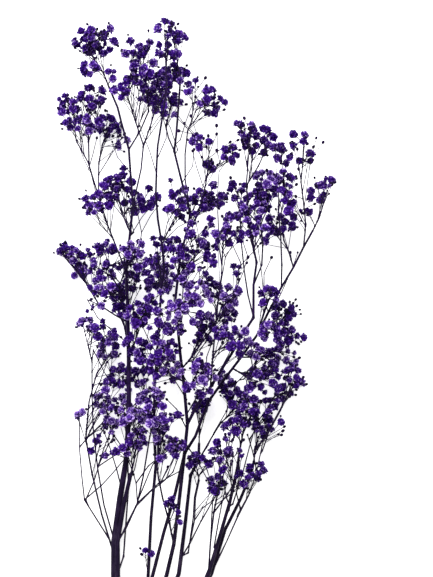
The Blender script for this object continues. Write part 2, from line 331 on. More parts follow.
DRAWN_SPRAYS = (  # stem, name, and each limb's route with its tufts as x, y, z, spread, blooms, buds
    ("left", "left_crown", [
        ([(-64.8, 500, 64), (-68, 508, 66), (-72, 516, 68)],
         [(-83, 536, 72, 8, 5, 2), (-69, 536, 58, 8, 5, 2), (-80, 514, 78, 5, 2, 1),
          (-61, 508, 74, 4, 1, 1)])]),
    ("left", "left_inner", [
        ([(-48.8, 450, 60), (-40, 464, 64), (-33, 480, 66)],
         [(-32, 526, 70, 8, 4, 1), (-34, 511, 82, 5, 2, 1), (-34, 493, 56, 5, 3, 1)])]),
    ("left", "left_tall", [
        ([(-45.6, 406, 54), (-39, 434, 66), (-37, 453, 72), (-44, 474, 82), (-49, 490, 86)],
         [(-48, 530, 88, 7, 3, 1), (-43, 508, 86, 7, 4, 2), (-55, 497, 94, 6, 3, 1)]),
        ([(-37, 453, 72), (-31, 470, 70)], [(-23, 502, 66, 6, 5, 1), (-24, 485, 62, 4, 2, 1)])]),
    ("left", "left_edge", [
        ([(-51.2, 352, 43), (-58.4, 370, 40), (-65.6, 388, 36), (-74.4, 415, 30), (-82, 440, 27),
          (-92, 458, 22)],
         [(-99, 486, 22, 7, 4, 2), (-94, 472, 30, 5, 2, 1)]),
        ([(-82, 440, 27), (-82, 464, 34)], [(-78, 494, 38, 9, 6, 2), (-77, 473, 46, 6, 3, 1)]),
        ([(-74.4, 415, 30), (-74, 440, 18), (-71, 456, 14)],
         [(-66, 470, 10, 7, 4, 1), (-56, 458, 16, 3, 1, 1)]),
        ([(-65.6, 388, 36), (-69, 396, 42)], [(-79, 406, 48, 6, 3, 2), (-67, 413, 54, 6, 4, 1)])]),
    ("left", "left_heart", [
        ([(-48, 384, 50), (-54, 398, 44), (-57, 410, 40)],
         [(-61, 425, 38, 5, 3, 2), (-52, 427, 32, 6, 3, 1)]),
        ([(-54, 398, 44), (-50, 404, 34)], [(-44, 408, 26, 7, 3, 1), (-33, 413, 30, 6, 3, 1)])]),
    ("left", "left_far", [
        ([(-50.1, 312, 34.4), (-61, 318, 28), (-73.6, 326, 20), (-84.8, 344, 14)],
         [(-101, 370, 10, 5, 3, 1), (-91, 366, 14, 5, 2, 1), (-88, 354, 6, 5, 2, 1),
          (-78, 367, 18, 5, 2, 1)])]),
    ("left", "left_middle", [
        ([(-50.4, 330, 38), (-58, 341, 45), (-63, 349, 50)],
         [(-72, 356, 56, 6, 3, 1), (-69, 341, 62, 6, 4, 1), (-66, 371, 54, 5, 3, 1)]),
        ([(-58, 341, 45), (-52, 354, 56)], [(-46, 370, 64, 7, 5, 1), (-36, 357, 68, 6, 3, 1)])]),
    ("left", "left_low", [
        ([(-49.7, 291, 29.9), (-52, 302, 22), (-54, 312, 17)],
         [(-60, 337, 12, 6, 4, 1), (-57, 324, 20, 4, 2, 1), (-46, 344, 20, 6, 3, 1)])]),
    ("left", "left_inward", [
        ([(-49.6, 282, 28), (-46, 292, 35), (-43, 300, 39)],
         [(-41, 318, 46, 8, 5, 1), (-30, 328, 56, 5, 3, 1)])]),
    ("left", "left_back", [
        ([(-61.6, 134, 5.5), (-70, 164, 11), (-75, 194, 16), (-78.4, 226, 22), (-79.2, 252, 27),
          (-79, 280, 33)],
         [(-82, 310, 38, 5, 2, 1), (-68, 305, 46, 7, 4, 1)])]),
    ("left", "left_front", [
        ([(-61.6, 122, 4.3), (-72, 156, 5), (-80, 190, 7), (-84.8, 218, 9), (-82, 248, 13),
          (-76, 270, 13)],
         [(-66, 290, 11, 6, 4, 1), (-58, 268, 9, 7, 4, 1), (-69, 262, 22, 3, 1, 1)]),
        ([(-84.8, 218, 9), (-78.4, 230, 10)],
         [(-71, 246, 9, 6, 4, 1), (-64, 228, 14, 5, 3, 1), (-89, 239, 14, 2, 1, 0)])]),
    ("left_second", "second_top", [
        ([(-48, 190, 17), (-45.6, 200, 19)], [(-43, 218, 24, 6, 4, 1), (-41, 237, 32, 6, 4, 1)])]),
    ("left_second", "second_low", [
        ([(-59.2, 108, 6.8), (-54.4, 122, 4.4), (-52.4, 150, 4.4), (-50.4, 176, 6), (-51, 212, 9)],
         [(-55, 246, 12, 6, 4, 1)])]),
    ("left_second", "second_inward", [
        ([(-59.2, 134, 9.2), (-52, 146, 13), (-43.2, 165, 18), (-38, 188, 26), (-33, 218, 34)],
         [(-30, 253, 42, 6, 4, 1)]),
        ([(-43.2, 165, 18), (-32, 176, 28), (-22, 184, 34), (-14, 192, 38)],
         [(-11, 211, 42, 5, 4, 1)])]),
    ("inner_left", "inner_top", [
        ([(-19, 492, 84), (-18.5, 502, 86)], [(-20, 544, 92, 6, 4, 2), (-15, 526, 84, 5, 3, 1)])]),
    ("inner_left", "inner_side", [
        ([(-22.4, 374, 60), (-17, 386, 67)],
         [(-11, 402, 76, 6, 4, 1), (-10, 418, 82, 7, 4, 1)]), ]),
    ("inner_left", "inner_middle", [
        ([(-23.2, 338, 48), (-24, 345, 40), (-24, 352, 34)],
         [(-26, 376, 34, 6, 3, 1), (-14, 376, 30, 5, 3, 1), (-31, 346, 24, 5, 2, 1),
          (-19, 350, 20, 6, 4, 1)])]),
    ("inner_left", "inner_low", [
        ([(-28.8, 260, 24), (-30, 272, 31)],
         [(-40, 289, 44, 7, 4, 1), (-18, 290, 50, 6, 4, 1), (-30, 282, 54, 4, 2, 1)])]),
    ("inner_left", "inner_under", [
        ([(-29.6, 226, 17), (-34, 240, 12), (-37, 250, 9)], [(-42, 268, 8, 6, 3, 1)])]),
    ("inner_left", "inner_foot", [
        ([(-34.4, 108, 3), (-36, 116, 5)], [(-36, 127, 9, 1, 1, 1)])]),
    ("crossing", "crossing_end", [
        ([(97.6, 385, 54), (103, 396, 56)],
         [(109, 423, 60, 4, 2, 1), (101, 414, 50, 6, 3, 1), (93, 400, 44, 3, 1, 1)])]),
    ("crossing", "crossing_high", [
        ([(90.4, 372, 52), (92, 390, 62), (90, 408, 68), (88, 424, 70)],
         [(86, 456, 76, 7, 4, 1), (91, 442, 64, 5, 2, 1)]),
        ([(92, 390, 62), (86, 398, 70)], [(80, 408, 78, 6, 4, 1)])]),
    ("crossing", "crossing_under", [
        ([(82.4, 356, 49), (79, 368, 40), (75, 378, 32)],
         [(68, 392, 26, 7, 4, 1), (60, 378, 20, 4, 1, 1), (83, 392, 18, 5, 2, 1)])]),
    ("crossing", "crossing_tall", [
        ([(72.8, 340, 46), (73, 358, 58), (72, 380, 66), (70, 402, 72)],
         [(75, 424, 80, 6, 4, 1), (71, 456, 84, 6, 3, 1), (74, 444, 70, 5, 3, 1)])]),
    ("crossing", "crossing_right", [
        ([(53.6, 302, 38), (56, 308, 47), (57, 314, 53)],
         [(62, 333, 60, 7, 4, 1), (62, 305, 58, 6, 4, 1)])]),
    ("crossing", "crossing_edge", [
        ([(58.4, 312, 40.2), (64, 308, 30), (68, 306, 26)],
         [(75, 320, 26, 7, 5, 1), (81, 300, 18, 7, 5, 1)])]),
    ("crossing", "crossing_floor", [
        ([(40.8, 284, 31), (52, 284, 22), (60, 284, 15)],
         [(68, 283, 9, 6, 4, 1), (81, 283, 8, 5, 3, 1)])]),
    ("crossing", "crossing_low", [
        ([(20.8, 257, 22.8), (23, 260, 14)], [(28, 265, 8, 6, 4, 1)])]),
    ("crossing", "crossing_near", [
        ([(34, 275, 28), (41, 271, 35), (46, 269, 38)],
         [(53, 265, 42, 5, 3, 1), (65, 269, 34, 3, 2, 1), (52, 289, 46, 4, 3, 1)])]),
    ("centre", "centre_top", [
        ([(-8.4, 498, 47), (-8, 506, 47)],
         [(-9, 541, 52, 6, 3, 2), (-14, 512, 36, 6, 4, 1), (-3, 508, 60, 5, 3, 1)])]),
    ("centre", "centre_under", [
        ([(-12.8, 449, 48), (-17.6, 460, 38), (-20, 470, 26)],
         [(-16, 491, 14, 6, 3, 1), (-28, 495, 10, 6, 3, 1)])]),
    ("centre", "centre_fork", [
        ([(0, 398, 57), (-4, 426, 64), (-4, 446, 68), (-2, 464, 70)],
         [(8, 490, 78, 6, 3, 1), (18, 485, 68, 6, 4, 1)])]),
    ("centre", "centre_heart", [
        ([(-2.4, 386, 55), (4, 394, 50)],
         [(7, 412, 42, 6, 4, 1), (19, 411, 34, 7, 5, 1), (-8, 414, 34, 5, 3, 1)])]),
    ("centre", "centre_right", [
        ([(-2.4, 386, 55), (5, 396, 64), (10.4, 412, 70), (15, 436, 76)],
         [(11, 457, 86, 8, 4, 1), (31, 445, 82, 7, 4, 1), (18, 437, 64, 3, 1, 1)])]),
    ("centre", "centre_middle", [
        ([(-10, 347, 48), (-6, 354, 58), (-2, 358, 64)],
         [(14, 370, 70, 7, 4, 1), (1, 382, 76, 4, 1, 1), (-9, 368, 70, 6, 4, 1)])]),
    ("centre", "centre_inward", [
        ([(-11, 319, 43), (-6, 325, 52), (-4, 329, 56)],
         [(1, 347, 60, 6, 3, 1), (1, 332, 68, 5, 2, 1), (-10, 324, 66, 6, 4, 1),
          (-12, 308, 58, 5, 3, 1)])]),
    ("centre", "centre_limb", [
        ([(-6.8, 275, 35), (1, 284, 40), (10, 297, 45), (19, 308, 48)],
         [(30, 333, 54, 7, 4, 1), (29, 318, 44, 5, 3, 1)]),
        ([(1, 284, 40), (7, 298, 32)], [(12, 312, 26, 5, 3, 1), (17, 338, 28, 6, 4, 1)])]),
    ("centre", "reach_end", [
        ([(46, 400, 84), (44.5, 422, 88)], [(44, 465, 94, 6, 4, 1), (49, 452, 84, 5, 3, 1)]),
        ([(44.5, 422, 88), (54, 436, 78)], [(59, 460, 74, 6, 4, 1), (62, 448, 66, 4, 2, 1)])]),
    ("centre", "reach_high", [
        ([(52.8, 360, 74), (50, 370, 84)], [(51, 388, 92, 6, 4, 1), (38, 400, 94, 6, 4, 1)])]),
    ("centre", "reach_heart", [
        ([(50.4, 316, 64), (46, 334, 58), (43, 354, 54), (41, 374, 50), (40, 392, 46)],
         [(40, 416, 42, 7, 5, 1), (40, 400, 32, 5, 3, 1)])]),
    ("centre", "reach_right", [
        ([(50.4, 342, 70), (57, 358, 62), (58, 376, 56), (56, 392, 52)],
         [(59, 416, 50, 6, 4, 1), (54, 404, 62, 4, 2, 1), (58, 428, 60, 5, 3, 1)])]),
    ("centre", "reach_left", [
        ([(16, 260, 40), (18.4, 290, 56), (21.6, 324, 70), (25, 350, 78)],
         [(27, 380, 84, 6, 3, 1)]),
        ([(18.4, 290, 56), (27, 292, 62)], [(38, 299, 68, 6, 4, 1), (25, 304, 72, 4, 2, 1)])]),
    ("centre", "centre_low", [
        ([(-4.8, 258, 32), (1, 263, 40)], [(8, 273, 48, 7, 4, 1)]),
        ([(1, 263, 40), (-8, 266, 46)], [(-14, 274, 44, 6, 4, 1)])]),
    ("centre", "centre_back", [
        ([(-13.6, 132, 9), (-17.6, 152, 17), (-22.4, 170, 22), (-26, 188, 26), (-27, 200, 28)],
         [(-26, 222, 30, 6, 4, 1), (-17, 237, 38, 5, 3, 1)]),
        ([(-17.6, 152, 17), (-14, 158, 24)], [(-14, 168, 28, 3, 2, 1)])]),
    ("short", "short_end", [
        ([(6.9, 214, 9), (7, 226, 9)], [(8, 246, 9, 6, 4, 1)])]),
    ("short", "short_right", [
        ([(6.4, 200, 7.5), (16, 217, 9), (24, 230, 10)],
         [(36, 250, 12, 6, 4, 1), (44, 236, 9, 5, 3, 1)])]),
    ("short", "short_low", [
        ([(-8, 120, 2.4), (0, 134, 4.5), (8, 150, 6), (16, 164, 7)], [(22, 180, 9, 6, 3, 1)]),
        ([(0, 134, 4.5), (3.2, 152, 9), (4, 170, 13), (7, 184, 16)],
         [(3, 200, 20, 3, 2, 1), (14, 200, 22, 3, 1, 1)])]),
    ("right", "right_end", [
        ([(40, 210, 23), (42, 222, 27)], [(48, 247, 34, 6, 4, 1), (35, 229, 34, 5, 3, 1)])]),
    ("right", "right_inner", [
        ([(14.4, 108, 8), (16, 134, 13), (19, 160, 17), (24, 184, 22)], [(24, 208, 26, 6, 4, 1)]),
        ([(19, 160, 17), (30, 174, 26)], [(41, 186, 30, 5, 2, 1)])]),
    ("outer_right", "outer_end", [
        ([(51.2, 200, 12.5), (52, 210, 14)], [(58, 229, 14, 7, 5, 1)]),
        ([(52, 210, 14), (62, 222, 18), (71, 238, 18), (77, 250, 15)],
         [(84, 269, 16, 7, 4, 1), (76, 254, 7, 5, 2, 1)])]),
    ("outer_right", "outer_low", [
        ([(16.8, 108, 3.5), (29, 134, 8), (38.4, 155, 13), (47, 172, 16)],
         [(54, 192, 18, 6, 3, 1)])]))

SPRAYS = [
    Spray("spray_" + name, "stem_" + stem,
          [Limb(route, [Tuft(*tuft) for tuft in tufts]) for route, tufts in limbs])
    for stem, name, limbs in DRAWN_SPRAYS]


class Growth:
    """What one spray has grown so far."""

    def __init__(self, name, room, draw):
        self.name = name
        self.room = room
        self.own = Room()
        self.draw = draw
        self.tips = []
        self.twigs = []
        self.forks = {}

    def add_tip(self, kind, centre, radius):
        """Adds a bloom or bud and takes up its space."""
        tip = Tip(len(self.tips), kind, centre, radius)
        self.tips.append(tip)
        self.room.fill(self.name, centre, radius)
        self.own.fill(("tip", tip.number), centre, radius)
        return tip

    def add_twig(self, route, tip, parent):
        """Adds the twig that carries a tip and takes up its space."""
        self.twigs.append(Twig(route, tip, parent))
        for start, end in zip(route, route[1:]):
            self.room.fill_along(self.name, start, end, TWIG_RADIUS)
            self.own.fill_along(("twig", len(self.twigs) - 1), start, end, TWIG_RADIUS)

    def freedom(self, start, tip, skipped):
        """Gap of a straight twig to other solids beyond the least one, or to its own spray."""
        apart = self.room.gap_along((self.name,), start, tip.centre, TWIG_RADIUS) - CLEARANCE
        near = min(ROOT / (tip.centre - start).length, ROOT_SHARE)
        owners = (("tip", tip.number),) + skipped
        return min(apart, self.own.gap_along(owners, start, tip.centre, TWIG_RADIUS, near))


class Room:
    """The space that is taken, as balls along every stem, limb, twig and tip."""

    def __init__(self):
        self.cells = {}

    def fill(self, owner, centre, radius):
        """Takes up a ball of space for its owner."""
        cell = tuple(math.floor(value / CELL) for value in centre)
        self.cells.setdefault(cell, []).append((owner, centre, radius))

    def fill_along(self, owner, start, end, radius):
        """Takes up the space of a straight stretch."""
        steps = max(1, math.ceil((end - start).length / SAMPLE))
        for step in range(steps + 1):
            self.fill(owner, start.lerp(end, step / steps), radius)

    def gap(self, skipped, centre, radius):
        """Least gap from a ball to what is near it, apart from the owners that are skipped."""
        least = CELL
        home = [math.floor(value / CELL) for value in centre]
        for cell in product(*(range(place - 1, place + 2) for place in home)):
            for other, place, size in self.cells.get(cell, ()):
                if other not in skipped:
                    least = min(least, (place - centre).length - size - radius)
        return least

    def gap_along(self, skipped, start, end, radius, near=0.0):
        """Least gap of a straight twig, from a share of its length on."""
        steps = max(2, math.ceil((end - start).length / SAMPLE))
        shares = [near + (1 - near) * step / steps for step in range(steps + 1)]
        return min(self.gap(skipped, start.lerp(end, share), radius) for share in shares)


def points(route):
    """A drawn route as vectors."""
    return [Vector(place) for place in route]


def tapered(route, foot, tip):
    """A radius for each point of a route, from its foot to its tip."""
    lengths = [0.0]
    for start, end in zip(route, route[1:]):
        lengths.append(lengths[-1] + (end - start).length)
    return [foot + (tip - foot) * length / lengths[-1] for length in lengths]


def stem_limbs(stem):
    """The routes of a cut stem with their radii: the main one and its heavy limbs."""
    main = points(stem.route)
    limbs = [(main, tapered(main, stem.foot, stem.tip))]
    for route in stem.limbs:
        limb = points(route)
        limbs.append((limb, tapered(limb, HEAVY_LIMB * stem.foot, stem.tip)))
    return limbs


def stretches(limbs):
    """Each straight stretch of some limbs, with its radius."""
    for route, radii in limbs:
        yield from zip(route, route[1:], radii)


def gap_to_stretch(place, start, end, radius):
    """Gap from a place to a straight stretch of a stem, which has flat ends."""
    way = (end - start).normalized()
    ahead = (place - start).dot(way)
    aside = (place - start - way * ahead).length - radius
    beyond = max(-ahead, ahead - (end - start).length)
    return math.hypot(max(aside, 0.0), max(beyond, 0.0))


def seated(route, name):
    """Moves a route's first point along it until its foot is just clear of the stem's side."""
    stem = next(stem for stem in STEMS if stem.name == name)
    ways, axes = axes_along(route)
    start = route[0]
    gap = 0.0
    while gap < SEAT:
        start = start + ways[0] * STEP
        foot = ring_corners(start, ways[0], ways[0], axes[0], LIMB_RADIUS, FOOT_POINTS)
        gap = min(gap_to_stretch(place, *stretch)
                  for place in foot for stretch in stretches(stem_limbs(stem)))
    return [start] + route[1:]


def place_in(tuft, reach, radius, draw):
    """A place drawn at random round a tuft's middle, above the surface that the bunch lies on."""
    angle = draw.uniform(0, 2 * math.pi)
    out = reach * math.sqrt(draw.random())
    up = draw.uniform(-1, 1) * FLATNESS * reach
    return Vector((tuft.x + out * math.cos(angle), tuft.y + out * math.sin(angle),
                   max(tuft.z + up, LOW_BLOOM * radius)))


def scatter(tuft, grown):
    """Finds a free place for each bloom and bud of a tuft."""
    draw = grown.draw
    found = []
    buds = sum(draw.random() < BUD_SHARE for bud in range(tuft.buds))
    for kind in ["bloom"] * tuft.blooms + ["bud"] * buds:
        radius = draw.triangular(*(BLOOM_RADII if kind == "bloom" else BUD_RADII))
        reach = tuft.spread if kind == "bloom" else BUD_SPREAD * tuft.spread
        for attempt in range(PLACE_TRIES):
            centre = place_in(tuft, reach * (1 + attempt / PLACE_TRIES), radius, draw)
            apart = min(grown.room.gap((grown.name,), centre, radius),
                        grown.own.gap((), centre, radius))
            if apart > CLEARANCE:
                found.append(grown.add_tip(kind, centre, radius))
                break
    return found


def far_first(tips, start):
    """Tips in order, with the farthest along the way that they all lie in front."""
    trend = (sum((tip.centre for tip in tips), Vector()) / len(tips) - start).normalized()

    def reach(tip):
        out = tip.centre - start
        return out.dot(trend) - out.cross(trend).length
    return sorted(tips, key=reach, reverse=True)


def fork_places(tip, grown, angles=FORK_ANGLES):
    """Each place where a twig to a tip would fork off at a natural angle, with its length."""
    places = []
    for number, twig in enumerate(grown.twigs):
        for stretch, (start, end) in enumerate(zip(twig.route, twig.route[1:])):
            length = (end - start).length
            way = (end - start) / length
            ahead = (tip.centre - start).dot(way)
            aside = (tip.centre - start - way * ahead).length
            last = stretch == len(twig.route) - 2
            usable = length - FORK_END - (NECK * twig.tip.radius if last else 0.0)
            for angle in angles:
                along = ahead - aside / math.tan(math.radians(angle))
                taken = grown.forks.get((number, stretch), ())
                crowded = any(abs(along - other) < FORK_PITCH for other in taken)
                fork = start + way * along
                reach = (tip.centre - fork).length
                if FORK_END <= along <= usable and not crowded and reach > tip.radius + ROOT:
                    places.append((reach, number, stretch, along, fork))
    return sorted(places, key=lambda place: place[:4])


def join(tip, grown):
    """Joins a tip to its spray by the shortest twig that is free. Without one it is left out."""
    places = fork_places(tip, grown)
    for reach, number, stretch, along, fork in places:
        if reach > LONGEST * places[0][0] + DETOUR:
            break
        if grown.freedom(fork, tip, (("twig", number),)) > -TOUCH:
            grown.forks.setdefault((number, stretch), []).append(along)
            grown.add_twig([fork, tip.centre], tip, (number, stretch))
            break


def carrier_of(place, routes):
    """The earlier limb, and its stretch, that ends at a place."""
    for number, route in enumerate(routes):
        for stretch, corner in enumerate(route[1:]):
            if (corner - place).length < SAMPLE:
                return number, stretch
    return None


def grow(spray, room):
    """A spray as twigs. Each limb drawn by hand is a twig that runs on to a tip of its own."""
    grown = Growth(spray.name, room, random.Random(spray.name))
    routes = []
    parents = []
    for limb in spray.limbs:
        route = points(limb.route)
        parents.append(carrier_of(route[0], routes))
        if routes:
            number, stretch = parents[-1]
            start, end = routes[number][stretch:stretch + 2]
            route[0] = end + (start - end).normalized() * FORK_PITCH
            grown.forks.setdefault(parents[-1], []).append((route[0] - start).length)
        else:
            route = seated(route, spray.stem)
        for start, end in zip(route, route[1:]):
            grown.own.fill_along(("twig", len(routes)), start, end, LIMB_RADIUS)
            grown.room.fill_along(spray.name, start, end, LIMB_RADIUS)
        routes.append(route)
    groups = [[scatter(tuft, grown) for tuft in limb.tufts] for limb in spray.limbs]
    for number, route in enumerate(routes):
        nearest = far_first(groups[number][0], route[-1])
        leader = max(nearest, key=lambda tip: min(grown.freedom(route[-1], tip,
                                                                (("twig", number),)), 0.0))
        groups[number][0].remove(leader)
        grown.add_twig(route + [leader.centre], leader, parents[number])
    for number, route in enumerate(routes):
        for group in groups[number]:
            for tip in far_first(group, route[-1]) if group else ():
                join(tip, grown)
    return grown


def carried(grown):
    """How many tips each twig carries, its own one with them."""
    counts = [1] * len(grown.twigs)
    order = sorted(range(len(grown.twigs)), key=lambda number: -depth(number, grown))
    for number in order:
        parent = grown.twigs[number].parent
        if parent:
            counts[parent[0]] += counts[number]
    return counts


def depth(number, grown):
    """How many twigs lie between a twig and its spray's first limb."""
    parent = grown.twigs[number].parent
    return 1 + depth(parent[0], grown) if parent else 0


def axes_along(route):
    """Two directions square to each stretch of a route, carried from one stretch to the next."""
    ways = [(end - start).normalized() for start, end in zip(route, route[1:])]
    level = ways[0].cross(UP).normalized()
    axes = [(level, ways[0].cross(level))]
    for before, after in zip(ways, ways[1:]):
        turn = before.rotation_difference(after)
        axes.append((turn @ axes[-1][0], turn @ axes[-1][1]))
    return ways, axes


def push_ring(mesh, ring, corners):
    """Extrudes the open ring of a limb and moves each of its vertices to a new corner."""
    made = bmesh.ops.extrude_edge_only(mesh, edges=open_edges(mesh))["geom"]
    new = {item for item in made if isinstance(item, bmesh.types.BMVert)}
    after = {}
    for vert in new:
        below = next(edge.other_vert(vert) for edge in vert.link_edges
                     if edge.other_vert(vert) not in new)
        number = ring[below]
        vert.co = corners[number]
        after[vert] = number
    return after


def open_edges(mesh):
    """The edges round whatever is still open."""
    return [edge for edge in mesh.edges if edge.is_boundary]


def start_ring(mesh, corners):
    """A closed foot, whose edges are the ring that a limb is extruded from."""
    verts = bmesh.ops.create_circle(mesh, cap_ends=True, segments=len(corners), radius=1)["verts"]
    for vert, corner in zip(verts, corners):
        vert.co = corner
    return {vert: number for number, vert in enumerate(verts)}


def ring_corners(centre, facing, way, axes, radius, sides):
    """Corners of a limb of a given way, where it is cut by the plane that a ring faces."""
    corners = []
    for number in range(sides):
        angle = 2 * math.pi * number / sides
        out = axes[0] * math.cos(angle) + axes[1] * math.sin(angle)
        corners.append(centre + (out - way * out.dot(facing) / way.dot(facing)) * radius)
    return corners


def ring_list(route, radii, sides):
    """The rings of corners of a limb, one at each point of its route."""
    ways, axes = axes_along(route)
    rings = [ring_corners(route[0], ways[0], ways[0], axes[0], radii[0], sides)]
    for number in range(1, len(route)):
        facing = (ways[number - 1] + ways[min(number, len(ways) - 1)]).normalized()
        rings.append(ring_corners(route[number], facing, ways[number - 1], axes[number - 1],
                                  radii[number], sides))
    return rings


def open_limb(mesh, rings):
    """An open-ended limb through rings of corners."""
    ring = start_ring(mesh, rings[0])
    for corners in rings[1:]:
        ring = push_ring(mesh, ring, corners)
    return ring


def end_way(route):
    """The way of a route's last stretch."""
    return (route[-1] - route[-2]).normalized()


def neck_route(twig):
    """A twig's route up to the neck of its bloom or bud."""
    return twig.route[:-1] + [twig.tip.centre - end_way(twig.route) * NECK * twig.tip.radius]


def lay_down(mesh):
    """Flattens what would reach below the surface that the bunch lies on."""
    for vert in mesh.verts:
        vert.co.z = max(vert.co.z, 0.0)


def stem_room():
    """The space that the cut stems take up."""
    room = Room()
    for stem in STEMS:
        for stretch in stretches(stem_limbs(stem)):
            room.fill_along(stem.name, *stretch)
    return room


class Value:
    """A number that varies over a surface. Arithmetic on it adds the Math nodes."""

    def __init__(self, tree, socket):
        self.tree = tree
        self.socket = socket

    def made(self, operation, *terms):
        """The value that an operation gives for its terms, which are values or numbers."""
        node = self.tree.nodes.new("ShaderNodeMath")
        node.operation = operation
        for place, term in enumerate(terms):
            if isinstance(term, Value):
                self.tree.links.new(term.socket, node.inputs[place])
            else:
                node.inputs[place].default_value = term
        return Value(self.tree, node.outputs["Value"])

    def __add__(self, other):
        return self.made("ADD", self, other)

    __radd__ = __add__

    def __sub__(self, other):
        return self.made("SUBTRACT", self, other)

    def __rsub__(self, other):
        return self.made("SUBTRACT", other, self)

    def __mul__(self, other):
        return self.made("MULTIPLY", self, other)

    __rmul__ = __mul__

    def __pow__(self, other):
        return self.made("POWER", self, other)


class Dye:
    """A material under construction."""

    def __init__(self, name, roughness, gleam):
        self.material = bpy.data.materials.new(name)
        self.material.use_nodes = True
        self.tree = self.material.node_tree
        self.shader = self.tree.nodes["Principled BSDF"]
        self.shader.inputs["Roughness"].default_value = roughness
        self.shader.inputs["Metallic"].default_value = 0.0
        self.shader.inputs["Specular IOR Level"].default_value = gleam

    def node(self, kind, settings=(), **values):
        """Adds a node: its settings come first, then the values or links of its sockets."""
        made = self.tree.nodes.new(kind)
        for name, value in dict(settings).items():
            if name == "stops":
                self.set_stops(made.color_ramp, value)
            else:
                setattr(made, name, value)
        for name, value in values.items():
            socket = made.inputs[name.replace("_", " ")]
            if isinstance(value, Value):
                self.tree.links.new(value.socket, socket)
            elif isinstance(value, bpy.types.NodeSocket):
                self.tree.links.new(value, socket)
            else:
                socket.default_value = value
        return made

    def set_stops(self, ramp, stops):
        """Gives a ramp its places and their colours."""
        while len(ramp.elements) < len(stops):
            ramp.elements.new(1.0)
        for element, (place, colour) in zip(ramp.elements, stops):
            element.position = place
            element.color = (*colour, 1.0)

    def attribute(self, name):
        """A number that the mesh holds at each of its points."""
        node = self.node("ShaderNodeAttribute", {"attribute_name": name})
        return Value(self.tree, node.outputs["Fac"])

    def noise(self, scale, detail, stretch=1.0):
        """Mottling from 0 to 1, as many to the metre as its scale, drawn out along the bunch."""
        place = self.node("ShaderNodeTexCoord").outputs["Object"]
        turned = self.node("ShaderNodeMapping", Vector=place, Scale=(1.0, 1.0 / stretch, 1.0))
        node = self.node("ShaderNodeTexNoise", Vector=turned.outputs["Vector"], Scale=scale,
                         Detail=detail)
        return Value(self.tree, node.outputs["Fac"])

    def along(self, start, end):
        """From 0 at one place along the bunch to 1 at another."""
        place = self.node("ShaderNodeTexCoord").outputs["Object"]
        parts = self.node("ShaderNodeSeparateXYZ", Vector=place)
        share = self.node("ShaderNodeMapRange", Value=parts.outputs["Y"], From_Min=start,
                          From_Max=end)
        return share.outputs["Result"]

    def mixed(self, share, *colours):
        """Turns from one colour to another as the share goes from 0 to 1."""
        mix = self.node("ShaderNodeMix", {"data_type": "RGBA"})
        for socket, source in zip((mix.inputs[0], *mix.inputs[6:8]), (share, *colours)):
            self.tree.links.new(source, socket)
        return mix.outputs[2]

    def relief(self, height, depth, strength):
        """Raises and lowers the surface by a height from 0 to 1, which stands for a depth."""
        bump = self.node("ShaderNodeBump", Height=height, Distance=depth, Strength=strength)
        self.paint("Normal", bump.outputs["Normal"])

    def ramp(self, value, places, colours):
        """A colour for each value, from those that hold at some places between 0 and 1."""
        stops = list(zip(places, colours))
        return self.node("ShaderNodeValToRGB", {"stops": stops}, Fac=value).outputs["Color"]

    def paint(self, socket, source):
        """Links a colour, a value or a relief to the surface."""
        self.tree.links.new(source, self.shader.inputs[socket])


def petal_dye(settings):
    """Deep violet at the heart of a bloom and lavender at the rims of its petals."""
    dye = Dye("petal_dye", settings.roughness, PETAL_GLEAM)
    rim = dye.attribute("rim")
    tone = dye.attribute("tone")
    patches = dye.noise(*PATCHES)
    creases = dye.noise(*CREASES)
    light = rim ** RIM_POWER * (tone * TONE_LIGHT + RIM_LIGHT)
    light = light + (patches - MEAN) * PATCH_LIGHT + (creases - MEAN) * CREASE_LIGHT
    colours = settings.deep, settings.middle, settings.bright, settings.lavender
    dye.paint("Base Color", dye.ramp(light, PETAL_STOPS, colours))
    dye.paint("Roughness", (settings.roughness + (creases - MEAN) * PETAL_DULLING).socket)
    dye.relief(creases + patches, CREASE_DEPTH, CREASE_STRENGTH)
    return dye.material


def stem_dye(settings):
    """Near-black with paler streaks where the dye took less, and more violet high up."""
    dye = Dye("stem_dye", settings.roughness, BARK_GLEAM)
    ridges = dye.noise(*RIDGES, stretch=RIDGE_STRETCH)
    worn = dye.noise(*WEAR) * WEAR_SHARE + ridges * (1 - WEAR_SHARE)
    low = settings.dark, settings.middle, settings.worn
    high = [[part * share for part, share in zip(colour, settings.tint)] for colour in low]
    dye.paint("Base Color", dye.mixed(
        dye.along(*BARK_TURNS), dye.ramp(worn, BARK_STOPS, low), dye.ramp(worn, BARK_STOPS, high)))
    dye.paint("Roughness", (settings.roughness + (ridges - MEAN) * BARK_DULLING).socket)
    dye.relief(ridges, RIDGE_DEPTH, RIDGE_STRENGTH)
    return dye.material


def floor_paint(settings):
    """A plain pale floor that gives off a little light of its own."""
    dye = Dye("pale_floor", FLOOR_ROUGHNESS, FLOOR_GLEAM)
    dye.shader.inputs["Base Color"].default_value = (*settings.floor, 1.0)
    dye.shader.inputs["Emission Color"].default_value = WHITE
    dye.shader.inputs["Emission Strength"].default_value = settings.floor_glow
    return dye.material


def finished(name, mesh):
    """The data of a mesh that is done with."""
    data = bpy.data.meshes.new(name)
    mesh.to_mesh(data)
    mesh.free()
    return data


def linked(name, data):
    """A new object in the scene."""
    made = bpy.data.objects.new(name, data)
    bpy.context.scene.collection.objects.link(made)
    return made


def merge(target, part):
    """Adds one mesh to another and frees it."""
    data = finished("part", part)
    target.from_mesh(data)
    bpy.data.meshes.remove(data)


def tube(target, route, radii, sides):
    """Adds a tube with flat ends along a route."""
    part = bmesh.new()
    open_limb(part, ring_list(route, radii, sides))
    bmesh.ops.edgeloop_fill(part, edges=open_edges(part))
    bmesh.ops.recalc_face_normals(part, faces=part.faces[:])
    merge(target, part)


